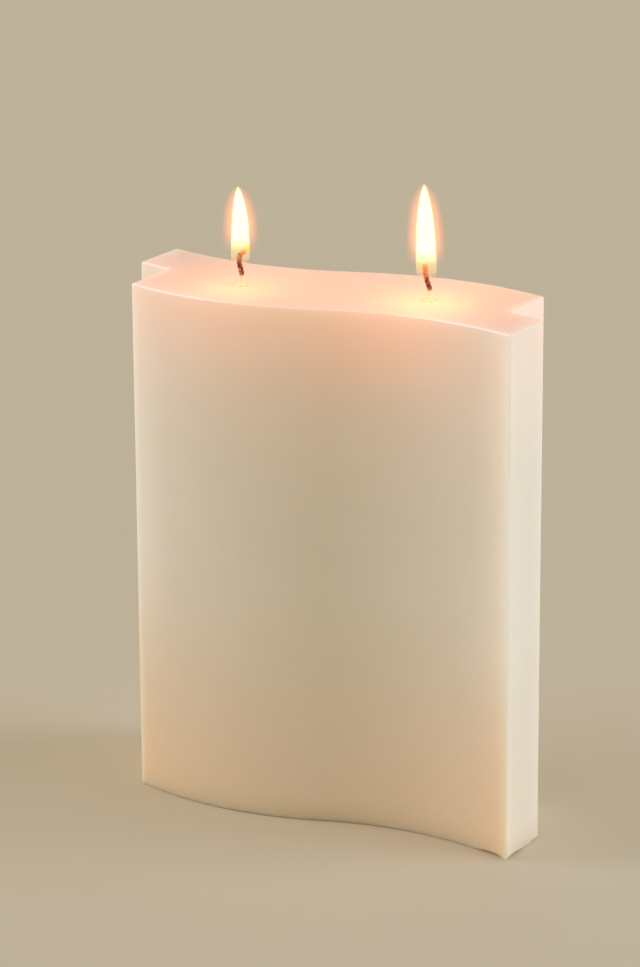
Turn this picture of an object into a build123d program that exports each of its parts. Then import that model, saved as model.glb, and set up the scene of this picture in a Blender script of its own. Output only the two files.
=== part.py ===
from build123d import *
import os
from math import cos, radians, sin, sqrt, tan

# Two-wick block candle: a cast wax block, S-shaped in plan, with a step at each end, shown lit.
# Millimetres, +Z up. The origin is the middle of the flat base, and the front face looks along -Y.

# Wax block
body_height = 180.0
face_length = 143.4  # each wavy face, end to end along X
body_thickness = 50.4  # between the two wavy faces, along Y
face_bow = 6.5  # each face swells by this much on one half and hollows by it on the other
end_step = 13.6  # the back half sits this far to the left of the front half
step_slant = 3.8  # the wall of each step runs back by this much over its depth
corner_radius = 0.8  # upright corners
edge_radius = 0.6  # edges of the top and the base

# Wicks, straight in the wax and bent above it
wick_diameter = 1.9
wick_spacing = 64.8  # between the two wicks, along X
wick_shift = -0.7  # the pair stands a little to the left of the block's middle
channel_clearance = 0.1  # round each wick, in the wax and in the pool
bend_azimuth = 30.0  # both wicks bend in upright planes turned this far from the X axis, in degrees

# Points that each burnt stub bends at, as (sideways, above the top face), with its tip last
stub_bends = {
    "left": [(0.0, -0.3), (0.55, 1.8), (-0.75, 7.2), (-0.1, 9.9), (2.7, 11.7)],
    "right": [(0.0, -0.3), (0.75, 1.9), (-1.3, 8.0), (-1.15, 11.4)],
}

# Melt pools: a shallow round dish in the top, filled nearly to its rim
pool_diameter = 10.5
pool_depth = 1.3
pool_freeboard = 0.3  # the liquid stands this far below the top face

# Wick sustainers: pressed discs in the base, each with a neck crimped round its wick
disc_diameter = 15.0
disc_thickness = 0.4
disc_recess = 0.4  # the disc's underside stands this far above the base
neck_height = 5.0
neck_wall = 0.35
crimp_clearance = 0.05
seat_clearance = 0.2  # round the disc and the neck, in the wax

# Flames: a bright flame in a faint veil. Widths are the bright flame's, heights are above the top face,
# and the lean is to the left of upright, in degrees
flame_veil = 2.0  # round the bright flame, at its widest
flame_clearance = 0.15  # round the wick
flame_fullness = 0.57  # share of each quarter that its curve's handles run along: 0.55 is an ellipse
flame_point = 0.09  # share of the taper that its tip's handle drops by: 0 is a round tip
flame_sizes = {
    "left": {"width": 6.3, "bottom": 5.0, "widest": 9.5, "tip": 33.0, "aside": -0.2, "lean": 0.9},
    "right": {"width": 6.8, "bottom": 5.0, "widest": 10.0, "tip": 38.2, "aside": -0.6, "lean": 1.4},
}

# Plan of the block: point-symmetric about the origin
half_thickness = body_thickness / 2
outer_x = (face_length + end_step) / 2
inner_x = (face_length - end_step) / 2
step_y = step_slant / 2
quarter = face_length / 4
face_radius = (quarter**2 + face_bow**2) / (2 * face_bow)

# Sizes that follow from the ones above
wick_radius = wick_diameter / 2
channel_radius = wick_radius + channel_clearance
dish_radius = ((pool_diameter / 2) ** 2 + pool_depth**2) / (2 * pool_depth)
dish_center_z = body_height + dish_radius - pool_depth
neck_bore_radius = wick_radius + crimp_clearance
neck_radius = neck_bore_radius + neck_wall
seat_z = disc_recess + disc_thickness
neck_top_z = seat_z + neck_height
base_up = (Align.CENTER, Align.CENTER, Align.MIN)


def bow_at(x):
    """How far a wavy face stands from its own straight line, at x from the face's middle."""
    from_crest = abs(x) - quarter
    height = sqrt(face_radius**2 - from_crest**2) - (face_radius - face_bow)
    return height if x > 0 else -height


def wick_foot(side):
    """Where a wick stands on the base: on the block's middle line, half the spacing to its side."""
    x = wick_shift + wick_spacing / 2 * side
    return (x, (bow_at(x - end_step / 2) + bow_at(x + end_step / 2)) / 2)


def bend_plane(foot):
    """The upright plane that a wick bends in: X is sideways, Y is height above the base."""
    turn = radians(bend_azimuth)
    return Plane(origin=(*foot, 0), x_dir=(cos(turn), sin(turn), 0), z_dir=(sin(turn), -cos(turn), 0))


def wick_points(name):
    """A wick's line in its own plane, from the underside of its sustainer to its tip."""
    return [(0, disc_recess)] + [(aside, body_height + up) for aside, up in stub_bends[name]]


def bend_radii(points):
    """The largest arc that each corner's two runs leave room for."""
    runs = [Vector(*end) - Vector(*start) for start, end in zip(points, points[1:])]
    return [
        0.45 * min(before.length, after.length) / tan(radians(before.get_angle(after) / 2))
        for before, after in zip(runs, runs[1:])
    ]


def wavy_face(left_x, y):
    """One face of the plan: two arcs that meet smoothly in the middle, the left one towards -Y."""
    middle_x = left_x + 2 * quarter
    ThreePointArc((left_x, y), (left_x + quarter, y - face_bow), (middle_x, y))
    ThreePointArc((middle_x, y), (middle_x + quarter, y + face_bow), (middle_x + 2 * quarter, y))


sides = {"left": -1, "right": 1}
feet = {name: wick_foot(side) for name, side in sides.items()}
os.makedirs("parts", exist_ok=True)

# Wax block
with BuildPart() as wax_body:
    with BuildSketch():
        with BuildLine():
            wavy_face(-inner_x, -half_thickness)
            Polyline(
                (outer_x, -half_thickness), (outer_x, -step_y), (inner_x, step_y), (inner_x, half_thickness)
            )
            wavy_face(-outer_x, half_thickness)
            Polyline(
                (-outer_x, half_thickness), (-outer_x, step_y), (-inner_x, -step_y), (-inner_x, -half_thickness)
            )
        make_face()
    extrude(amount=body_height)

    # Softened corners and edges
    uprights = wax_body.edges().filter_by(Axis.Z)
    fillet(uprights.filter_by(lambda edge: abs(edge.center().X) > quarter), corner_radius)
    fillet(wax_body.faces().sort_by(Axis.Z)[-1].edges(), edge_radius)
    fillet(wax_body.faces().sort_by(Axis.Z)[0].edges(), edge_radius)

    # Pool dishes in the top, wick channels and sustainer seats
    with Locations([(*foot, dish_center_z) for foot in feet.values()]):
        Sphere(dish_radius, mode=Mode.SUBTRACT)
    with Locations(list(feet.values())):
        Cylinder(channel_radius, body_height, align=base_up, mode=Mode.SUBTRACT)
        Cylinder(neck_radius + seat_clearance, neck_top_z + seat_clearance, align=base_up, mode=Mode.SUBTRACT)
        Cylinder(disc_diameter / 2 + seat_clearance, seat_z, align=base_up, mode=Mode.SUBTRACT)
wax_body.part.label = "wax_body"
export_step(wax_body.part, "parts/wax_body.step")

for name, foot in feet.items():
    plane = bend_plane(foot)
    points = wick_points(name)
    radii = bend_radii(points)
    print(name, "wick bends, radius in mm:", [round(radius, 1) for radius in radii])

    # Wick, from the sustainer's underside to its burnt tip
    with BuildPart() as wick:
        with BuildLine(plane):
            FilletPolyline(points, radius=radii)
        with BuildSketch(Plane((*foot, disc_recess))):
            Circle(wick_radius)
        sweep()
    wick.part.label = f"wick_{name}"
    export_step(wick.part, f"parts/wick_{name}.step")

    # Sustainer: a disc seated in the base, and a neck round the wick
    with BuildPart() as sustainer:
        with Locations((*foot, disc_recess)):
            Cylinder(disc_diameter / 2, disc_thickness, align=base_up)
            Cylinder(neck_radius, neck_top_z - disc_recess, align=base_up)
            Cylinder(neck_bore_radius, neck_top_z - disc_recess, align=base_up, mode=Mode.SUBTRACT)
    sustainer.part.label = f"wick_sustainer_{name}"
    export_step(sustainer.part, f"parts/wick_sustainer_{name}.step")

    # Melt pool: the dish's round bottom up to the liquid's level, open round the wick
    with BuildPart() as melt_pool:
        with Locations((*foot, dish_center_z)):
            Sphere(dish_radius)
        split(bisect_by=Plane.XY.offset(body_height - pool_freeboard), keep=Keep.BOTTOM)
        with Locations((*foot, 0)):
            Cylinder(channel_radius, body_height, align=base_up, mode=Mode.SUBTRACT)
    melt_pool.part.label = f"melt_pool_{name}"
    export_step(melt_pool.part, f"parts/melt_pool_{name}.step")

    # Room that the flame leaves round its wick
    with BuildPart() as wick_room:
        with BuildLine(plane):
            FilletPolyline(points, radius=radii)
        with BuildSketch(Plane((*foot, disc_recess))):
            Circle(wick_radius + flame_clearance)
        sweep()

    # Flame: a tall rounded taper over a short bowl, turned about a leaning axis, hollow round the wick
    size = flame_sizes[name]
    flame_foot = plane.from_local_coords((size["aside"], body_height, 0))
    flame_plane = Plane(flame_foot, x_dir=plane.x_dir, z_dir=plane.z_dir).rotated((0, 0, size["lean"]))
    radius = size["width"] / 2 + flame_veil
    bottom, widest, tip = size["bottom"], size["widest"], size["tip"]
    with BuildPart() as flame:
        with BuildSketch(flame_plane):
            with BuildLine():
                Bezier(
                    (0, bottom),
                    (flame_fullness * radius, bottom),
                    (radius, widest - flame_fullness * (widest - bottom)),
                    (radius, widest),
                )
                Bezier(
                    (radius, widest),
                    (radius, widest + flame_fullness * (tip - widest)),
                    (flame_fullness * radius, tip - flame_point * (tip - widest)),
                    (0, tip),
                )
                Line((0, tip), (0, bottom))
            make_face()
        revolve(axis=Axis(flame_plane.origin, flame_plane.y_dir))
        add(wick_room.part, mode=Mode.SUBTRACT)
    flame.part.label = f"flame_{name}"
    export_step(flame.part, f"parts/flame_{name}.step")
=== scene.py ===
import math

import bmesh
import bpy
import numpy as np
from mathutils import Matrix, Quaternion, Vector


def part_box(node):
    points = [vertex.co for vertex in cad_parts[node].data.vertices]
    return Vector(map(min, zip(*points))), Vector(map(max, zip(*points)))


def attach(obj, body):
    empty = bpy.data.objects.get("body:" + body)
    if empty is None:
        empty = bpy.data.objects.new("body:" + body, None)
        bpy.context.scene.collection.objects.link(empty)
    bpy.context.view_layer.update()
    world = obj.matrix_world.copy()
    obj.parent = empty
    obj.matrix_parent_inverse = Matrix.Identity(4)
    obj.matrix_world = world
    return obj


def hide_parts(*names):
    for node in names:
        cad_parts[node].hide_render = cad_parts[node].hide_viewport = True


# A lit block candle with two wicks. Metres, +Z up, the front face towards -Y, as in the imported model.
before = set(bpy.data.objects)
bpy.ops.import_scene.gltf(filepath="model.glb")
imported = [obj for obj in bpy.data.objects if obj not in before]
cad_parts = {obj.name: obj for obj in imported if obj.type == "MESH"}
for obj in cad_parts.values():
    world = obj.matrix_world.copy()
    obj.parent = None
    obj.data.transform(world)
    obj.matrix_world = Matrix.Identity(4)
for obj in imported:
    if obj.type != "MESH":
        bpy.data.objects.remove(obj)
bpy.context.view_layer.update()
MM = 0.001
SIDES = ("left", "right")
BLACK = (0.0, 0.0, 0.0, 1.0)

# Wax block, S-shaped in plan with a step at each end
wax_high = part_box("wax_body")[1]
TOP = wax_high.z
OUTER_X = wax_high.x
FACE_BOW = 6.5 * MM
END_STEP = 13.6 * MM
STEP_SLANT = 3.8 * MM
CORNER_RADIUS = 0.8 * MM
EDGE_RADIUS = 0.6 * MM
HALF_THICKNESS = wax_high.y - FACE_BOW
INNER_X = OUTER_X - END_STEP
FACE_LENGTH = OUTER_X + INNER_X
QUARTER = FACE_LENGTH / 4
FACE_RADIUS = (QUARTER**2 + FACE_BOW**2) / (2 * FACE_BOW)

# Wick feet, and the upright planes that the burnt stubs bend in
FEET = {side: np.array((sum(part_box(f"wick_sustainer_{side}"), Vector()) / 2).xy) for side in SIDES}
BEND_AZIMUTH = math.radians(30.0)
SIDEWAYS = np.array((math.cos(BEND_AZIMUTH), math.sin(BEND_AZIMUTH), 0.0))
DEPTHWISE = np.array((-math.sin(BEND_AZIMUTH), math.cos(BEND_AZIMUTH), 0.0))
UP = np.array((0.0, 0.0, 1.0))
WICK_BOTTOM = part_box("wick_left")[0].z
WICK_RADIUS = 0.95 * MM

# Points that each stub bends at, as (sideways, above the top face) in millimetres, with its tip last
STUB_BENDS = {
    "left": [(0.0, -0.3), (0.55, 1.8), (-0.75, 7.2), (-0.2, 10.0), (2.45, 11.1), (2.8, 12.8)],
    "right": [(0.0, -0.3), (0.75, 1.9), (-1.3, 8.0), (-1.15, 11.4)],
}

# How hot each tip glows: the left one has curled out into the flame's edge
EMBER = {"left": 1.0, "right": 0.62}

# Melt pools
POOL_RADIUS = 5.25 * MM
POOL_DEPTH = 1.3 * MM
LIQUID_RADIUS = (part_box("melt_pool_left")[1].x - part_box("melt_pool_left")[0].x) / 2

# Flames: half width of the bright flame, its widest height above the top face, its axis's shift sideways
# at the bottom, the middle and the tip, and how much light it gives to the wax
FLAME_SHAPES = {
    "left": {
        "radius": 3.15 * MM,
        "widest": 9.5 * MM,
        "axis": (-0.35 * MM, -0.15 * MM, -0.7 * MM),
        "light": 0.85,
    },
    "right": {
        "radius": 3.4 * MM,
        "widest": 10.0 * MM,
        "axis": (-0.6 * MM, -1.1 * MM, -1.5 * MM),
        "light": 1.2,
    },
}

# A skin narrows to its tip as (1 - climb ** first) ** second
FLAME_TAPER = (2.4, 0.66)
VEIL_TAPER = (3.8, 0.52)
VEIL = 3.4 * MM  # faint gas round the bright flame, at its widest
VEIL_LIGHT = 125.0  # of each metre of the densest gas
PAINTED_REFLECTION_OFFSET = (5 * MM, -10 * MM, 0.0)  # from a wick's foot to the painted reflection of its flame on the wax before it


def srgb(red, green, blue):
    """A colour as it is seen, in 0 to 255, turned into light for a shader."""
    seen = np.array((red, green, blue)) / 255
    light = np.where(seen <= 0.04045, seen / 12.92, ((seen + 0.055) / 1.055) ** 2.4)
    return (*light.tolist(), 1.0)


# Mesh helpers


def quads(rows, columns, first=0):
    """Corner numbers of the faces between the rows of a grid whose last column meets its first."""
    row = np.arange(rows - 1)[:, None] * columns
    column = np.arange(columns)[None, :]
    after = (column + 1) % columns
    corners = [row + column, row + after, row + columns + after, row + columns + column]
    return first + np.stack(corners, -1).reshape(-1, 4)


def add_piece(name, points, faces, material, slot, *nodes, **attributes):
    """A smooth piece from points and faces, welded where points meet, in place of the named CAD nodes."""
    mesh = bpy.data.meshes.new(name)
    mesh.from_pydata(points.reshape(-1, 3).tolist(), [], faces.tolist())
    for label, values in attributes.items():
        layer = mesh.attributes.new(label, "FLOAT", "POINT")
        layer.data.foreach_set("value", values.ravel().astype(np.float32))
    shape = bmesh.new()
    shape.from_mesh(mesh)
    bmesh.ops.remove_doubles(shape, verts=shape.verts, dist=0.0005 * MM)
    bmesh.ops.dissolve_degenerate(shape, edges=shape.edges, dist=0.002 * MM)
    bmesh.ops.recalc_face_normals(shape, faces=shape.faces)
    shape.to_mesh(mesh)
    shape.free()
    mesh.polygons.foreach_set("use_smooth", np.ones(len(mesh.polygons), bool))
    mesh.materials.append(material)
    piece = bpy.data.objects.new(name, mesh)
    bpy.context.scene.collection.objects.link(piece)
    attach(piece, "root")
    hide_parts(*nodes)
    return piece


def uneven(points, size, seed):
    """A smooth, repeatable unevenness from -1 to 1: a sum of seven sine waves in mixed directions."""
    draw = np.random.default_rng(seed)
    waves = draw.normal(size=(7, 3)) * (2 * math.pi / size) / 1.7
    phases = draw.uniform(0, 2 * math.pi, 7)
    return np.sin(points @ waves.T + phases).mean(-1)


def smooth_step(value, low, high):
    """0 below low, 1 above high, with an even S between them."""
    share = np.clip((value - low) / (high - low), 0, 1)
    return share * share * (3 - 2 * share)


def circle(count):
    """Angles evenly round a full turn."""
    return np.linspace(0, 2 * math.pi, count, endpoint=False)


# Shader helpers


def feed(tree, socket, value):
    """Sets a socket: links it to another node's output, or writes a plain value on it."""
    if isinstance(value, bpy.types.NodeSocket):
        tree.links.new(value, socket)
    else:
        socket.default_value = value


def put(tree, kind, inputs=None, **settings):
    """Adds a shader node with its settings and inputs."""
    node = tree.nodes.new(kind)
    for key, value in settings.items():
        setattr(node, key, value)
    for key, value in (inputs or {}).items():
        feed(tree, node.inputs[key], value)
    return node


def calc(tree, operation, *values, clamp=False):
    """One step of arithmetic on up to three values."""
    node = put(tree, "ShaderNodeMath", dict(enumerate(values)), operation=operation, use_clamp=clamp)
    return node.outputs[0]


def vector_calc(tree, operation, *values):
    """One step of arithmetic on vectors, which gives a vector, or a number for a length or a distance."""
    node = put(tree, "ShaderNodeVectorMath", dict(enumerate(values)), operation=operation)
    return node.outputs["Value" if operation in ("LENGTH", "DISTANCE") else "Vector"]


def between(tree, value, low, high, smooth=False):
    """How far a value has come from low to high, from 0 to 1, evenly or as a smooth step."""
    inputs = {"Value": value, "From Min": low, "From Max": high}
    kind = "SMOOTHSTEP" if smooth else "LINEAR"
    return put(tree, "ShaderNodeMapRange", inputs, interpolation_type=kind).outputs["Result"]


def blend(tree, share, first, second, mode="MIX"):
    """Two colours mixed by a share."""
    inputs = {0: share, 6: first, 7: second}
    return put(tree, "ShaderNodeMix", inputs, data_type="RGBA", blend_type=mode).outputs[2]


def ramp(tree, share, stops):
    """A colour that runs through the given stops as share goes from 0 to 1."""
    node = put(tree, "ShaderNodeValToRGB", {0: share})
    elements = node.color_ramp.elements
    while len(elements) < len(stops):
        elements.new(0.5)
    for element, (position, colour) in zip(elements, stops):
        element.position = position
        element.color = colour
    return node.outputs["Color"]


def object_place(tree):
    """A place in the object's own coordinates."""
    return put(tree, "ShaderNodeTexCoord").outputs["Object"]


def parts_of(tree, vector):
    """The X, Y and Z of a vector."""
    return put(tree, "ShaderNodeSeparateXYZ", {0: vector}).outputs


def attribute(tree, name):
    """A value that the mesh carries at each point."""
    return put(tree, "ShaderNodeAttribute", attribute_name=name).outputs["Fac"]


# Effects that several materials share


def new_group(name, inputs, outputs):
    """An empty node group with float inputs and the named outputs, and its two end nodes."""
    group = bpy.data.node_groups.new(name, "ShaderNodeTree")
    for label in inputs:
        group.interface.new_socket(label, in_out="INPUT", socket_type="NodeSocketFloat")
    for label in outputs:
        group.interface.new_socket(label, in_out="OUTPUT", socket_type="NodeSocketFloat")
    return group, group.nodes.new("NodeGroupInput"), group.nodes.new("NodeGroupOutput")


def use_group(tree, group, inputs):
    """A node group placed in a material with its own values."""
    node = tree.nodes.new("ShaderNodeGroup")
    node.node_tree = group
    for key, value in inputs.items():
        feed(tree, node.inputs[key], value)
    return node.outputs


def height_group():
    """Mask that climbs from 0 at height Low to 1 at height High, both above the block's top."""
    group, given, result = new_group("height_fade", ("Low", "High"), ("Mask",))
    above = calc(group, "SUBTRACT", parts_of(group, object_place(group))["Z"], TOP)
    mask = between(group, above, given.outputs["Low"], given.outputs["High"], smooth=True)
    feed(group, result.inputs["Mask"], mask)
    return group


def glow_group():
    """Painted glow falls off from each wick's foot with the named reach, and faster downwards.

    Shine is a painted reflection of the flames: a rounder patch of the same reach, on the front side of
    each foot. A taller flame gives more.
    """
    group, given, result = new_group("wick_glow", ("Reach",), ("Glow", "Shine"))
    squeeze = (1.0, 1.0, 1.5)
    place = vector_calc(group, "MULTIPLY", object_place(group), squeeze)
    for label, forward, power in (("Glow", (0.0, 0.0, 0.0), 1.0), ("Shine", PAINTED_REFLECTION_OFFSET, 2.0)):
        total = 0.0
        for side in SIDES:
            middle = tuple((np.array((*FEET[side], TOP)) + forward) * squeeze)
            away = vector_calc(group, "DISTANCE", place, middle)
            share = calc(group, "POWER", calc(group, "DIVIDE", away, given.outputs["Reach"]), power)
            fall = calc(group, "EXPONENT", calc(group, "MULTIPLY", share, -1.0))
            total = calc(group, "MULTIPLY_ADD", fall, FLAME_SHAPES[side]["light"], total)
        feed(group, result.inputs[label], total)
    return group


def mottle_group():
    """Soft clouds of the named size and a finer grain, each from 0 to 1 about a middle of one half."""
    group, given, result = new_group("mottle", ("Cloud Size", "Grain Size"), ("Cloud", "Grain"))
    place = object_place(group)
    for label, detail in (("Cloud", 2.0), ("Grain", 3.0)):
        scale = calc(group, "DIVIDE", 1.0, given.outputs[f"{label} Size"])
        inputs = {"Vector": place, "Scale": scale, "Detail": detail, "Roughness": 0.5}
        feed(group, result.inputs[label], put(group, "ShaderNodeTexNoise", inputs).outputs[0])
    return group


HEIGHT_FADE = height_group()
WICK_GLOW = glow_group()
MOTTLE = mottle_group()


def height_mask(tree, low, high):
    """The height fade between two heights above the block's top, in millimetres."""
    return use_group(tree, HEIGHT_FADE, {"Low": low * MM, "High": high * MM})["Mask"]


def wick_glow(tree, reach):
    """The wicks' glow and shine with a reach in millimetres."""
    return use_group(tree, WICK_GLOW, {"Reach": reach * MM})


def mottled(tree, cloud_size, grain_size):
    """Clouds and grain of two sizes in millimetres."""
    return use_group(tree, MOTTLE, {"Cloud Size": cloud_size * MM, "Grain Size": grain_size * MM})


# Materials


def new_material(name, **plain):
    """A material with one Principled shader and its plain values."""
    material = bpy.data.materials.new(name)
    material.use_nodes = True
    tree = material.node_tree
    shader = tree.nodes["Principled BSDF"]
    for label, value in plain.items():
        shader.inputs[label.replace("_", " ").title().replace("Ior", "IOR")].default_value = value
    return material, tree, shader


def gas_material(name, strength):
    """A material that only gives light."""
    return new_material(
        name, base_color=BLACK, roughness=1.0, specular_ior_level=0.0, emission_strength=strength
    )


def bumpy(tree, shader, height, strength, distance):
    """Lets a height raise the surface by up to a distance in millimetres."""
    bump = put(tree, "ShaderNodeBump", {"Height": height, "Strength": strength, "Distance": distance * MM})
    feed(tree, shader.inputs["Normal"], bump.outputs["Normal"])


def wax_material():
    """Ivory wax: light sinks in, rounded edges carry a painted highlight, and painted flame light comes
    out peach.
    """
    material, tree, shader = new_material(
        "ivory_wax",
        subsurface_weight=1.0,
        subsurface_radius=(1.0, 0.85, 0.7),
        subsurface_scale=9 * MM,
        ior=1.43,
        emission_strength=1.0,
    )
    mottle = mottled(tree, 38, 1.4)
    edge = attribute(tree, "edge")
    facing = parts_of(tree, put(tree, "ShaderNodeNewGeometry").outputs["Normal"])

    # Cloudy ivory; painted warm bounce light makes it creamier low down by the waves of the long faces,
    # painted shade and bounce from the floor make it yellower at the foot, and a painted highlight makes
    # it paler at edges
    colour = blend(tree, mottle["Cloud"], srgb(232, 226, 213), srgb(239, 233, 222))
    long_face = calc(tree, "MULTIPLY_ADD", calc(tree, "ABSOLUTE", facing["Y"]), 0.45, 0.3)
    leaning = calc(tree, "MULTIPLY", facing["X"], facing["Y"])
    long_face = calc(tree, "MULTIPLY_ADD", leaning, 0.8, long_face)
    painted_bounce = calc(tree, "MULTIPLY", height_mask(tree, -85, -180), long_face)
    colour = blend(tree, painted_bounce, colour, srgb(240, 214, 184))
    painted_foot_shade = calc(tree, "MULTIPLY", height_mask(tree, -169, -180), 0.5)
    colour = blend(tree, painted_foot_shade, colour, srgb(232, 205, 170))
    colour = blend(tree, calc(tree, "MULTIPLY", edge, 0.8), colour, srgb(255, 251, 243))
    feed(tree, shader.inputs["Base Color"], colour)

    # Painted light, as emission: it stands in for flame light that has passed through the wax, with more
    # on the top and at its edges, plus a painted reflection of each flame before its wick and a painted
    # highlight on the edges
    glow = calc(tree, "MULTIPLY", wick_glow(tree, 20)["Glow"], 1.05, clamp=True)
    peach = blend(tree, glow, BLACK, (1.0, 0.2, 0.08, 1))
    painted_reflection = calc(tree, "MULTIPLY", wick_glow(tree, 14)["Shine"], 1.0, clamp=True)
    yellow = blend(tree, painted_reflection, (0.1, 0.005, 0.01, 1), (0.38, 0.17, 0.04, 1))
    top_light = blend(tree, between(tree, facing["Z"], 0.5, 0.95), BLACK, yellow)
    edge_light = blend(tree, edge, BLACK, (0.2, 0.17, 0.17, 1))
    light = blend(tree, 1.0, peach, blend(tree, 1.0, top_light, edge_light, "ADD"), "ADD")
    feed(tree, shader.inputs["Emission Color"], light)

    feed(tree, shader.inputs["Roughness"], calc(tree, "MULTIPLY_ADD", mottle["Cloud"], 0.14, 0.43))
    bumpy(tree, shader, mottle["Grain"], 0.12, 0.05)
    return material


def liquid_material():
    """Molten wax: wet and a little yellow, with a painted glow, milky by the wick and thinning out to
    nothing at the rim.
    """
    material, tree, shader = new_material("molten_wax", roughness=0.3, ior=1.43, emission_strength=0.38)
    # Painted light: the liquid gives off its own colour as emission, brighter by the wick
    glow = calc(tree, "MULTIPLY", wick_glow(tree, 5)["Glow"], 1.0, clamp=True)
    colour = blend(tree, glow, srgb(244, 214, 172), srgb(250, 224, 182))
    feed(tree, shader.inputs["Base Color"], colour)
    feed(tree, shader.inputs["Emission Color"], colour)
    feed(tree, shader.inputs["Alpha"], attribute(tree, "depth"))
    return material


def wick_material():
    """Braided cotton: waxed and cream below, charred above with paler ash on it, an ember at the tip."""
    material, tree, shader = new_material("charred_cotton", roughness=0.85, emission_strength=1.0)
    mottle = mottled(tree, 1.1, 0.25)
    charred = height_mask(tree, 1.6, 3.4)
    ember = attribute(tree, "ember")
    char = [(0.32, srgb(84, 42, 26)), (0.5, srgb(138, 78, 50)), (0.68, srgb(196, 136, 104))]
    colour = blend(tree, charred, srgb(255, 238, 218), ramp(tree, mottle["Cloud"], char))
    colour = blend(tree, ember, colour, srgb(70, 30, 12))
    feed(tree, shader.inputs["Base Color"], colour)

    # Ember from dull red to gold, and painted light on the foot, standing in for the wax's glow round it
    heat_colours = [
        (0.0, BLACK),
        (0.12, (0.16, 0.008, 0.002, 1)),
        (0.4, (0.5, 0.03, 0.002, 1)),
        (0.62, (0.6, 0.05, 0.0, 1)),
        (0.8, (0.75, 0.2, 0.01, 1)),
        (1.0, (0.93, 0.5, 0.06, 1)),
    ]
    patchy = calc(tree, "SUBTRACT", mottle["Cloud"], 0.5)
    heat = calc(tree, "MULTIPLY_ADD", patchy, 0.5, ember, clamp=True)
    uncharred = calc(tree, "SUBTRACT", 1.0, charred)
    foot = calc(tree, "MULTIPLY", wick_glow(tree, 2.5)["Glow"], uncharred, clamp=True)
    light = blend(tree, foot, ramp(tree, heat, heat_colours), (0.2, 0.13, 0.04, 1))
    feed(tree, shader.inputs["Emission Color"], light)
    bumpy(tree, shader, mottle["Grain"], 0.6, 0.1)
    return material


def tinplate_material():
    """Pressed tinplate: dull bright metal with faint blotches."""
    material, tree, shader = new_material("tinplate", metallic=1.0)
    mottle = mottled(tree, 3, 0.5)
    colour = blend(tree, mottle["Cloud"], srgb(168, 166, 160), srgb(214, 212, 206))
    feed(tree, shader.inputs["Base Color"], colour)
    feed(tree, shader.inputs["Roughness"], calc(tree, "MULTIPLY_ADD", mottle["Grain"], 0.25, 0.25))
    return material


def flame_core_material():
    """The white heart of a flame, clear round the wick and solid above it."""
    material, tree, shader = gas_material("flame_core", 6.0)
    solid = height_mask(tree, 9.5, 17)
    colours = [
        (0.0, (0.12, 0.09, 0.049, 1)),
        (0.35, (0.127, 0.124, 0.052, 1)),
        (0.8, (0.4, 0.3, 0.15, 1)),
        (1.0, (1.0, 0.55, 0.22, 1)),
    ]
    feed(tree, shader.inputs["Emission Color"], ramp(tree, solid, colours))
    feed(tree, shader.inputs["Alpha"], solid)
    return material


def flame_mantle_material():
    """The thin skin of a flame: peach and faint below, then yellow, then nearly white."""
    material, tree, shader = gas_material("flame_mantle", 2.2)
    colours = [
        (0.0, (0.95, 0.4, 0.18, 1)),
        (0.24, (1.0, 0.5, 0.17, 1)),
        (0.45, (0.85, 0.66, 0.23, 1)),
        (0.7, (0.65, 0.6, 0.3, 1)),
        (1.0, (0.55, 0.46, 0.24, 1)),
    ]
    feed(tree, shader.inputs["Emission Color"], ramp(tree, height_mask(tree, 6, 17), colours))
    thickness = calc(tree, "MULTIPLY_ADD", height_mask(tree, 10.5, 15), 0.36, 0.14)
    feed(tree, shader.inputs["Alpha"], calc(tree, "MULTIPLY", height_mask(tree, 6.2, 8.8), thickness))
    return material


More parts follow.
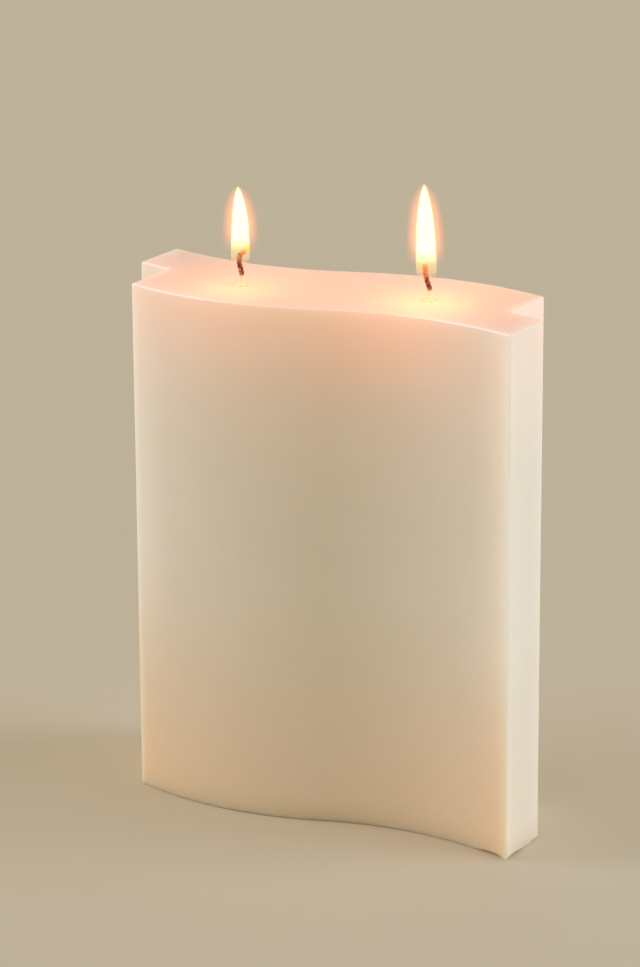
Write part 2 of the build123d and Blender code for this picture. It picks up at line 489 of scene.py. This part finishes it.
def flame_veil_material(side):
    """Faint orange gas round a bright flame: densest by the flame, thin at the tip, gone at its edge."""
    material, tree, shader = gas_material(f"flame_veil_{side}", 1.0)
    start, full = 10.0, 20.0  # heights in millimetres between which the veil appears
    film = height_mask(tree, start, full)
    colour = blend(tree, film, (1.0, 0.3, 0.1, 1), (1.0, 0.45, 0.16, 1))
    feed(tree, shader.inputs["Emission Color"], colour)
    feed(tree, shader.inputs["Alpha"], calc(tree, "MULTIPLY", film, 0.02))

    # How far this place is from the flame's axis, which leans and bows as the skins do
    shape = FLAME_SHAPES[side]
    low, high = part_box(f"flame_{side}")
    at_bottom, at_middle, at_tip = shape["axis"]
    place = object_place(tree)
    height = parts_of(tree, place)["Z"]
    share = between(tree, height, low.z, high.z)
    bow = calc(tree, "MULTIPLY", calc(tree, "SUBTRACT", 1.0, share), share)
    bow = calc(tree, "MULTIPLY", bow, 4 * at_middle - 2 * (at_bottom + at_tip))
    shift = calc(tree, "ADD", calc(tree, "MULTIPLY_ADD", share, at_tip - at_bottom, at_bottom), bow)
    shift = put(tree, "ShaderNodeCombineXYZ", {axis: shift for axis in "XYZ"}).outputs[0]
    axis = vector_calc(tree, "MULTIPLY_ADD", shift, tuple(SIDEWAYS), (*FEET[side], 0.0))
    level = vector_calc(tree, "MULTIPLY", vector_calc(tree, "SUBTRACT", place, axis), (1, 1, 0))
    away = vector_calc(tree, "LENGTH", level)

    # Where that lies between the veil's edge and the bright flame's skin at this height
    climb = between(tree, height, TOP + shape["widest"], high.z)

    def skin_radius(widest, taper):
        """A skin's radius at this height."""
        point, power = taper
        left = calc(tree, "SUBTRACT", 1.0, calc(tree, "POWER", climb, point))
        return calc(tree, "MULTIPLY", calc(tree, "POWER", left, power), widest)

    veil_edge = skin_radius(shape["radius"] + VEIL, VEIL_TAPER)
    dense = between(tree, away, veil_edge, skin_radius(shape["radius"], FLAME_TAPER))

    # Light of the gas itself
    above_wick = between(tree, height, TOP + start * MM, TOP + full * MM, smooth=True)
    at_the_tip = calc(tree, "MULTIPLY", calc(tree, "POWER", climb, 4.0), 0.6)
    lit = calc(tree, "MULTIPLY", above_wick, calc(tree, "SUBTRACT", 1.0, at_the_tip))
    strength = calc(tree, "MULTIPLY", dense, calc(tree, "MULTIPLY", lit, VEIL_LIGHT))
    colour = blend(tree, dense, (1.0, 0.1, 0.03, 1), (1.0, 0.38, 0.11, 1))
    gas = put(tree, "ShaderNodeEmission", {"Color": colour, "Strength": strength})
    tree.links.new(gas.outputs[0], tree.nodes["Material Output"].inputs["Volume"])
    return material


# Wax block


def bow_at(x):
    """How far a wavy face stands from its straight line: two arcs of one radius, bowed opposite ways."""
    height = np.sqrt(FACE_RADIUS**2 - (np.abs(x) - QUARTER) ** 2) - (FACE_RADIUS - FACE_BOW)
    return np.sign(x) * height


def column_places():
    """Places along X for the columns of the mesh: close together by the wicks, wider between them."""
    fine, coarse, step = 0.4 * MM, 1.5 * MM, 0.1 * MM
    steps = np.arange(-OUTER_X, OUTER_X, step)
    near = np.min([np.abs(steps - FEET[side][0]) for side in SIDES], axis=0)
    density = 1 / (fine + (coarse - fine) * smooth_step(near, 8 * MM, 14 * MM))
    count = np.cumsum(density) * step
    return np.interp(np.arange(1, int(count[-1])), count, steps)


def round_corners(stretches, radius):
    """Joins the stretches of a closed outline with an arc of the named radius at each corner."""
    joined = []
    for before, after in zip(stretches[-1:] + stretches[:-1], stretches):
        corner, far_corner = after[0], after[-1]
        into = (corner - before[-2]) / np.linalg.norm(corner - before[-2])
        out = (after[1] - corner) / np.linalg.norm(after[1] - corner)
        turn = math.atan2(into[0] * out[1] - into[1] * out[0], into @ out)
        reach = radius * math.tan(abs(turn) / 2)
        inward = np.array((-into[1], into[0])) * math.copysign(1, turn)
        centre = corner - into * reach + inward * radius
        angle = np.linspace(0, abs(turn), 7)[:, None]
        arc = centre - inward * radius * np.cos(angle) + into * radius * np.sin(angle)
        from_start = np.linalg.norm(after - corner, axis=1)
        from_end = np.linalg.norm(after - far_corner, axis=1)
        kept = after[(from_start > 1.5 * reach) & (from_end > 1.5 * radius)]
        joined += [arc, kept]
    return np.concatenate(joined)


def plan_outline():
    """The block's plan, anticlockwise from its front left corner.

    It runs along the wavy front, a stepped end, the wavy back and the other stepped end, which is the
    first one turned half a turn.
    """
    places = column_places()

    def wavy(left, right, middle, y):
        """Points of one wavy face between two ends, from left to right."""
        inside = places[(places > left) & (places < right)]
        x = np.concatenate([[left], inside, [right]])
        return np.stack([x, y + bow_at(x - middle)], 1)

    def straight(start, end):
        """Points of one straight stretch, about 1.5 mm apart."""
        count = max(2, int(math.dist(start, end) / (1.5 * MM)))
        return np.linspace(start, end, count)

    half, step = HALF_THICKNESS, STEP_SLANT / 2
    right_end = [(OUTER_X, -half), (OUTER_X, -step), (INNER_X, step), (INNER_X, half)]
    left_end = [(-x, -y) for x, y in right_end]
    stretches = [wavy(-INNER_X, OUTER_X, END_STEP / 2, -half)]
    stretches += [straight(a, b) for a, b in zip(right_end, right_end[1:])]
    stretches += [wavy(-OUTER_X, INNER_X, -END_STEP / 2, half)[::-1]]
    stretches += [straight(a, b) for a, b in zip(left_end, left_end[1:])]
    return round_corners(stretches, CORNER_RADIUS)


def cap_spine(x):
    """The line down the middle of a cap that its rows close on: a sine wave through both wick feet."""
    reach, half_wave = 58 * MM, 64 * MM
    along = np.clip(x, -reach, reach)
    across = FEET["right"][1] * np.sin(math.pi * along / half_wave)
    return np.stack([along, across], -1)


def top_relief(points):
    """Height of the top face: by each wick a parabolic dish with a soft lip, in a Gaussian hollow."""
    lip, hollow, hollow_reach = 0.8 * MM, 0.25 * MM, 11 * MM
    height = 0.12 * MM * uneven(points, 30 * MM, 4)
    for side in SIDES:
        away = np.linalg.norm(points[..., :2] - FEET[side], axis=-1)
        dish = POOL_DEPTH * (1 - (away / POOL_RADIUS) ** 2)
        height -= 0.5 * (dish + np.sqrt(dish**2 + lip**2))
        height -= hollow * np.exp(-((away / hollow_reach) ** 2))
    return height


def base_relief(points):
    """Height of the underside above the floor: flat, with a round seat for each sustainer."""
    seat_depth = 0.8 * MM
    height = np.zeros(points.shape[:-1])
    for side in SIDES:
        away = np.linalg.norm(points[..., :2] - FEET[side], axis=-1)
        height += seat_depth * (1 - smooth_step(away, 7.6 * MM, 8.1 * MM))
    return height


def base_chips(points):
    """How far the base edge is broken away: a flat arch on each side of one corner, and small nicks."""
    x, y = points[..., 0], points[..., 1]

    def arch(along, middle, half_width, height):
        """A flattened hump: a parabola raised to a power below 1."""
        return height * np.clip(1 - ((along - middle) / half_width) ** 2, 0, 1) ** 0.7

    on_front = smooth_step(-y, 20 * MM, 24 * MM)
    on_end = smooth_step(x, 76 * MM, 78 * MM)
    arches = arch(x, 70.5 * MM, 6.5 * MM, 1.4 * MM) * on_front
    arches += arch(y, -19.5 * MM, 5.5 * MM, 0.8 * MM) * on_end
    nicks = 0.7 * MM * np.clip(uneven(points * (1, 1, 0), 9 * MM, 21) - 0.12, 0, 1)
    return arches + nicks


def build_wax(material):
    """The block: the plan carried up a wall with rounded edges, and two caps that run in to a spine."""
    outline = plan_outline()
    ahead = np.roll(outline, -1, 0) - np.roll(outline, 1, 0)
    outward = np.stack([ahead[:, 1], -ahead[:, 0]], 1) / np.linalg.norm(ahead, axis=1)[:, None]
    columns = len(outline)

    # Wall profile, as how far in from the outline and how high, from the base edge to the top edge
    quarter_turn = np.linspace(0, math.pi / 2, 6)
    rim_in = EDGE_RADIUS * (1 - np.sin(quarter_turn))
    rim_up = EDGE_RADIUS * (1 - np.cos(quarter_turn))
    wall_start = EDGE_RADIUS + 0.15 * MM
    wall = np.linspace(wall_start, TOP - wall_start, 56)
    wall = np.sort(np.concatenate([[1.2 * MM, 1.8 * MM, 2.6 * MM], wall]))
    inset = np.concatenate([rim_in, 0 * wall, rim_in[::-1]])
    height = np.concatenate([rim_up, wall, TOP - rim_up[::-1]])

    # Wall points, a little uneven, with worn edges and a chipped base
    points = np.empty((len(inset), columns, 3))
    points[..., :2] = outline
    points[..., 2] = height[:, None]
    worn = 1 + 0.5 * uneven(points, 7 * MM, 3)
    swell = 0.1 * MM * uneven(points, 55 * MM, 1) - 0.1 * MM
    points[..., :2] += outward * (swell - inset[:, None] * worn)[..., None]
    points[..., 2] += base_chips(points) * (1 - smooth_step(points[..., 2], 0, 3 * MM))

    # Painted highlight: rounded top edges are painted palest where they face the front and the left
    rounded = np.clip(np.sin(math.pi * inset / EDGE_RADIUS), 0, 1) ** 0.5 * (height > TOP / 2)
    front = smooth_step(-outward[:, 1], 0.3, 0.9)
    rightward = smooth_step(outward[:, 0], -0.06, 0.16)
    fronting = 0.15 + 0.85 * front * (1 - 0.9 * rightward)
    edge = rounded[:, None] * fronting

    # Painted light also: paler by both ends of the front, most high up, and a little in the right end,
    # standing in for light gathered in the wax
    to_end = np.minimum(outline[:, 0] + INNER_X, OUTER_X - outline[:, 0])
    by_end = 0.16 * (1 - smooth_step(to_end, 0, 18 * MM)) * front
    in_end = 0.06 * smooth_step(outward[:, 0], 0.5, 0.9)
    high_up = smooth_step(height, 30 * MM, 100 * MM)[:, None]
    edge = np.maximum(edge, by_end * high_up + in_end)

    # Caps, from the rim to the spine, with rows closer together near the wicks
    share = np.concatenate([[0.006], np.linspace(0, 1, 40)[1:] ** 0.8])[:, None, None]
    spine = cap_spine(outline[:, 0])

    def cap(rim, level, relief):
        """Rows of one cap, from just inside the rim to the spine."""
        inner = np.empty((len(share), columns, 3))
        inner[..., :2] = rim[:, :2] * (1 - share) + spine * share
        inner[..., 2] = level + (rim[:, 2] - level) * (1 - smooth_step(share[..., 0], 0.0, 0.15))
        inner[..., 2] += relief(inner) * smooth_step(share[..., 0], 0.0, 0.12)
        return inner

    base = cap(points[0], 0.0, base_relief)[::-1]
    top = cap(points[-1], TOP, top_relief)

    # Painted light: the top is painted paler towards its front edge and its ends
    ends = smooth_step(np.abs(outward[:, 0]), 0.5, 0.9)
    painted_top_light = 0.28 * (1 - share[..., 0]) * np.maximum(fronting, ends)
    edge = np.concatenate([np.zeros(base.shape[:2]), edge, painted_top_light])
    points = np.concatenate([base, points, top])
    faces = quads(len(points), columns)
    return add_piece("wax_block", points, faces, material, "wax", "wax_body", edge=edge)


# Wicks


def smooth_line(points, per_bend):
    """A smooth line by its corner points: a parabola round each corner, from middle to middle."""
    points = np.array(points, float)
    middles = (points[:-1] + points[1:]) / 2
    middles[0], middles[-1] = points[0], points[-1]
    t = np.linspace(0, 1, per_bend)[:, None]
    pieces = [
        (1 - t) ** 2 * start + 2 * t * (1 - t) * corner + t**2 * end
        for start, corner, end in zip(middles, points[1:-1], middles[1:])
    ]
    return np.concatenate([pieces[0]] + [piece[1:] for piece in pieces[1:]])


def even_line(line, step):
    """The same line with points a step apart, and how far along it each one is."""
    run = np.concatenate([[0], np.cumsum(np.linalg.norm(np.diff(line, axis=0), axis=1))])
    places = np.linspace(0, run[-1], int(run[-1] / step))
    return np.stack([np.interp(places, run, line[:, axis]) for axis in range(2)], 1), places


def build_wick(side, material):
    """A wick of three plaited strands, swollen and rounded at the burnt tip.

    Each strand is a tube. Its middle swings across the braid as a sine wave, once in a pitch, and through
    the braid as a sine wave of twice the speed.
    """
    pitch, strand_radius = 4.2 * MM, 0.5 * MM
    swing_across, swing_through, fuzz = 0.45 * MM, 0.3 * MM, 0.06 * MM
    strands, sides = 3, 10

    # The wick's middle line in its upright plane, and the direction across it
    in_wax = [(0, WICK_BOTTOM), (0, TOP - 60 * MM), (0, TOP - 4 * MM)]
    stub = [(aside * MM, TOP + up * MM) for aside, up in STUB_BENDS[side]]
    line, run = even_line(smooth_line(in_wax + stub, 60), 0.28 * MM)
    along = np.gradient(line, axis=0)
    along /= np.linalg.norm(along, axis=1)[:, None]
    centre = np.array((*FEET[side], 0)) + line[:, :1] * SIDEWAYS + line[:, 1:] * UP
    across = along[:, 1:] * SIDEWAYS - along[:, :1] * UP
    around = circle(sides)[None, :, None]
    ring = np.cos(around) * across[:, None] + np.sin(around) * DEPTHWISE

    # Thickness and heat by the distance to the tip
    to_tip = run[-1] - run
    thickness = np.sqrt(np.clip(to_tip / (0.45 * MM), 0.02, 1))
    thickness *= 1 + 0.3 * (1 - smooth_step(to_tip, 0.5 * MM, 2.5 * MM))
    thickness = thickness[:, None, None]
    ember = EMBER[side] * (1 - smooth_step(to_tip, 1.5 * MM, 5.0 * MM))
    ember = np.tile(np.repeat(np.concatenate([ember[:1], ember, ember[-1:]]), sides), strands)

    points, faces = [], []
    for strand in range(strands):
        phase = 2 * math.pi * (run / pitch + strand / strands)
        middle = centre + swing_across * np.sin(phase)[:, None] * across
        middle += swing_through * np.sin(2 * phase)[:, None] * DEPTHWISE
        tube = middle[:, None] + ring * strand_radius * thickness
        tube += ring * fuzz * uneven(tube, 0.9 * MM, 10 + strand)[..., None] * thickness
        start, end = (np.repeat(pole[None, None], sides, 1) for pole in (middle[0], middle[-1]))
        tube = np.concatenate([start, tube, end])
        faces.append(quads(len(tube), sides, first=sum(map(len, points))))
        points.append(tube.reshape(-1, 3))
    points, faces = np.concatenate(points), np.concatenate(faces)
    return add_piece(f"braided_wick_{side}", points, faces, material, "wick", f"wick_{side}", ember=ember)


# Melt pools


def build_pool(side, material):
    """Liquid wax: a flat surface that creeps up the wick as an exponential, over the dish's bottom."""
    sides, rings = 72, 26
    gap, creep_height, creep_reach = 0.05 * MM, 0.3 * MM, 0.45 * MM
    out = np.linspace(0.2 * MM, LIQUID_RADIUS, rings)
    radius = np.concatenate([out, out[-2::-1]])
    around = circle(sides)
    points = np.empty((len(radius), sides, 3))
    points[..., 0] = FEET[side][0] + radius[:, None] * np.cos(around)
    points[..., 1] = FEET[side][1] + radius[:, None] * np.sin(around)
    points[..., 2] = TOP
    points[..., 2] += top_relief(points) - gap
    creep = creep_height * np.exp(-(out - WICK_RADIUS).clip(0) / creep_reach)
    points[:rings, :, 2] = points[rings - 1, :, 2].min() + creep[:, None]
    points = np.concatenate([points, points[:1]])

    # How much the liquid covers the wax under it: more by the wick, none at the rim
    by_wick = 0.35 * (1 - smooth_step(radius, WICK_RADIUS + 0.5 * MM, WICK_RADIUS + 2.0 * MM))
    depth = (0.22 + by_wick) * (1 - smooth_step(radius, 0.5 * LIQUID_RADIUS, LIQUID_RADIUS))
    depth = np.repeat(np.concatenate([depth, depth[:1]]), sides)
    faces = quads(len(points), sides)
    name = f"liquid_wax_{side}"
    return add_piece(name, points, faces, material, "liquid_wax", f"melt_pool_{side}", depth=depth)


# Sustainers


def build_sustainer(side, material):
    """A disc with a pressed ring and a rolled rim, and a neck: a profile turned about the wick."""
    node = f"wick_sustainer_{side}"
    low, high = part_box(node)
    rim = (high.x - low.x) / 2
    thickness, neck, rolled, bend = 0.4 * MM, 1.3 * MM, 0.3 * MM, 0.25 * MM
    ring_depth, ring_radius, ring_width, bevel = 0.16 * MM, 4.6 * MM, 0.5 * MM, 0.1 * MM
    bore = WICK_RADIUS + 0.05 * MM
    seat = low.z + thickness

    # Profile as (radius, height): the underside, the rim, the upper side and the neck
    out = np.linspace(neck + bend, rim - rolled, 40)
    press = ring_depth * np.exp(-(((out - ring_radius) / ring_width) ** 2))
    under = np.stack([out, low.z + press], 1)
    over = np.stack([out, np.full_like(out, seat)], 1)[::-1]
    roll = np.linspace(-math.pi / 2, math.pi / 2, 9)
    edge = np.stack([rim - rolled + rolled * np.cos(roll), low.z + thickness / 2 * (1 + np.sin(roll))], 1)
    outside = [(neck, seat + bend), (neck, high.z - bevel), (neck - bevel, high.z)]
    inside = [(bore, high.z), (bore, low.z)]
    profile = np.concatenate([under, edge, over, outside, inside, under[:1]])

    around = circle(64)
    points = np.empty((len(profile), len(around), 3))
    points[..., 0] = FEET[side][0] + profile[:, :1] * np.cos(around)
    points[..., 1] = FEET[side][1] + profile[:, :1] * np.sin(around)
    points[..., 2] = profile[:, 1:]
    faces = quads(len(points), len(around))
    return add_piece(f"tin_sustainer_{side}", points, faces, material, "tinplate", node)


# Flames


def flame_skin(side, grow, bottom, tip_drop, narrowing=FLAME_TAPER):
    """A flame's skin: a bowl below its widest height and a long pointed taper above.

    Height runs as the cosine of a half turn. The radius is its sine in the bowl, and the named narrowing
    above. The axis leans and bows as a parabola.
    """
    shape = FLAME_SHAPES[side]
    low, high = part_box(f"flame_{side}")
    tip, widest = high.z - TOP - tip_drop, shape["widest"]
    rows, sides = 64, 40
    turn = np.linspace(0, math.pi, rows)
    in_bowl = turn < math.pi / 2
    height = widest - np.where(in_bowl, widest - bottom, tip - widest) * np.cos(turn)
    point, power = narrowing
    taper = np.clip(1 - np.abs(np.cos(turn)) ** point, 0, 1) ** power
    radius = (shape["radius"] + grow) * np.where(in_bowl, np.sin(turn), taper)
    share = (height - (low.z - TOP)) / (high.z - low.z)
    at_bottom, at_middle, at_tip = shape["axis"]
    bow = 4 * (at_middle - (at_bottom + at_tip) / 2)
    axis = at_bottom + (at_tip - at_bottom) * share + bow * share * (1 - share)
    centre = np.array((*FEET[side], TOP)) + axis[:, None] * SIDEWAYS + height[:, None] * UP
    around = circle(sides)
    ring = np.cos(around)[:, None] * SIDEWAYS + np.sin(around)[:, None] * DEPTHWISE
    return centre[:, None] + radius[:, None, None] * ring, quads(rows, sides)


def build_flame(side, mantle_material, core_material):
    """A flame of three skins, one in the other, none of which casts a shadow."""
    veil_skin = flame_skin(side, VEIL, 5.0 * MM, 0.0, VEIL_TAPER)
    mantle_skin = flame_skin(side, 0.0, 5.3 * MM, 0.1 * MM)
    core_skin = flame_skin(side, -0.3 * MM, 8.0 * MM, 0.9 * MM)
    veil = add_piece(f"flame_veil_{side}", *veil_skin, flame_veil_material(side), "flame", f"flame_{side}")
    mantle = add_piece(f"flame_mantle_{side}", *mantle_skin, mantle_material, "flame")
    core = add_piece(f"flame_core_{side}", *core_skin, core_material, "flame")
    veil.visible_shadow = mantle.visible_shadow = core.visible_shadow = False


# The candle

build_wax(wax_material())
liquid, cotton, tinplate = liquid_material(), wick_material(), tinplate_material()
flame_core, flame_mantle = flame_core_material(), flame_mantle_material()
for side in SIDES:
    build_wick(side, cotton)
    pool = build_pool(side, liquid)
    pool.visible_shadow = False
    build_sustainer(side, tinplate)
    build_flame(side, flame_mantle, flame_core)


# Stage: a plain pale floor, soft studio light, and the camera


def build_floor():
    """A wide flat floor, a little warm."""
    material, _, _ = new_material("pale_floor", roughness=0.9, base_color=srgb(231, 221, 202))
    reach = 8.0
    corners = [(-reach, -reach, 0), (reach, -reach, 0), (reach, reach, 0), (-reach, reach, 0)]
    mesh = bpy.data.meshes.new("floor")
    mesh.from_pydata(corners, [], [(0, 1, 2, 3)])
    mesh.materials.append(material)
    floor = bpy.data.objects.new("floor", mesh)
    bpy.context.scene.collection.objects.link(floor)


def soft_sun(name, azimuth, elevation, spread, strength, colour):
    """A broad even light from one side. Azimuth 0 is in front and 90 at the right."""
    lamp = bpy.data.lights.new(name, "SUN")
    lamp.angle, lamp.energy, lamp.color = math.radians(spread), strength, colour
    turn, rise = math.radians(azimuth), math.radians(elevation)
    away = Vector((math.sin(turn) * math.cos(rise), -math.cos(turn) * math.cos(rise), math.sin(rise)))
    holder = bpy.data.objects.new(name, lamp)
    holder.location = away
    holder.rotation_mode = "QUATERNION"
    holder.rotation_quaternion = (-away).to_track_quat("-Z", "Y")
    bpy.context.scene.collection.objects.link(holder)


def build_world():
    """Warm light from all round, dimmer overhead, and a pale backdrop for what looks past the floor."""
    world = bpy.data.worlds.new("studio")
    world.use_nodes = True
    tree = world.node_tree
    lit = tree.nodes["Background"]
    lit.inputs["Color"].default_value = (1.0, 0.86, 0.6, 1)
    overhead = parts_of(tree, put(tree, "ShaderNodeTexCoord").outputs["Generated"])["Z"]
    levels = {"Value": overhead, "From Min": 0.2, "From Max": 1.0, "To Min": 0.618, "To Max": 0.29}
    feed(tree, lit.inputs["Strength"], put(tree, "ShaderNodeMapRange", levels).outputs["Result"])
    seen = put(tree, "ShaderNodeBackground", {"Color": srgb(204, 199, 184), "Strength": 1.0})
    rays = put(tree, "ShaderNodeLightPath").outputs
    looked_at = calc(tree, "MAXIMUM", rays["Is Camera Ray"], rays["Is Glossy Ray"])
    looked_at = calc(tree, "MAXIMUM", looked_at, rays["Is Transmission Ray"])
    mixed = put(tree, "ShaderNodeMixShader", {0: looked_at, 1: lit.outputs[0], 2: seen.outputs[0]})
    tree.links.new(mixed.outputs[0], tree.nodes["World Output"].inputs["Surface"])
    bpy.context.scene.world = world


def build_camera():
    """The photograph's camera: 1.3 m off, to the right of the front, looking down."""
    data = bpy.data.cameras.new("camera")
    data.sensor_width, data.lens = 36.0, 138.06
    camera = bpy.data.objects.new("camera", data)
    yaw, pitch, roll = math.radians(-30.2206), math.radians(17.1376), math.radians(0.3732)
    level = math.cos(pitch)
    forward = Vector((math.sin(yaw) * level, math.cos(yaw) * level, -math.sin(pitch)))
    camera.location = (0.598208, -1.038380, 0.482126)
    camera.rotation_mode = "QUATERNION"
    camera.rotation_quaternion = forward.to_track_quat("-Z", "Y") @ Quaternion((0, 0, 1), -roll)
    bpy.context.scene.collection.objects.link(camera)
    bpy.context.scene.camera = camera


build_floor()
build_world()
soft_sun("left_window", -65, 10, 50, 1.62, (0.94, 0.955, 1.06))
soft_sun("right_window", 110, 10, 50, 1.83, (0.9, 1.05, 1.25))
build_camera()

scene = bpy.context.scene
scene.view_settings.view_transform = "Standard"
scene.cycles.transparent_max_bounces = 16
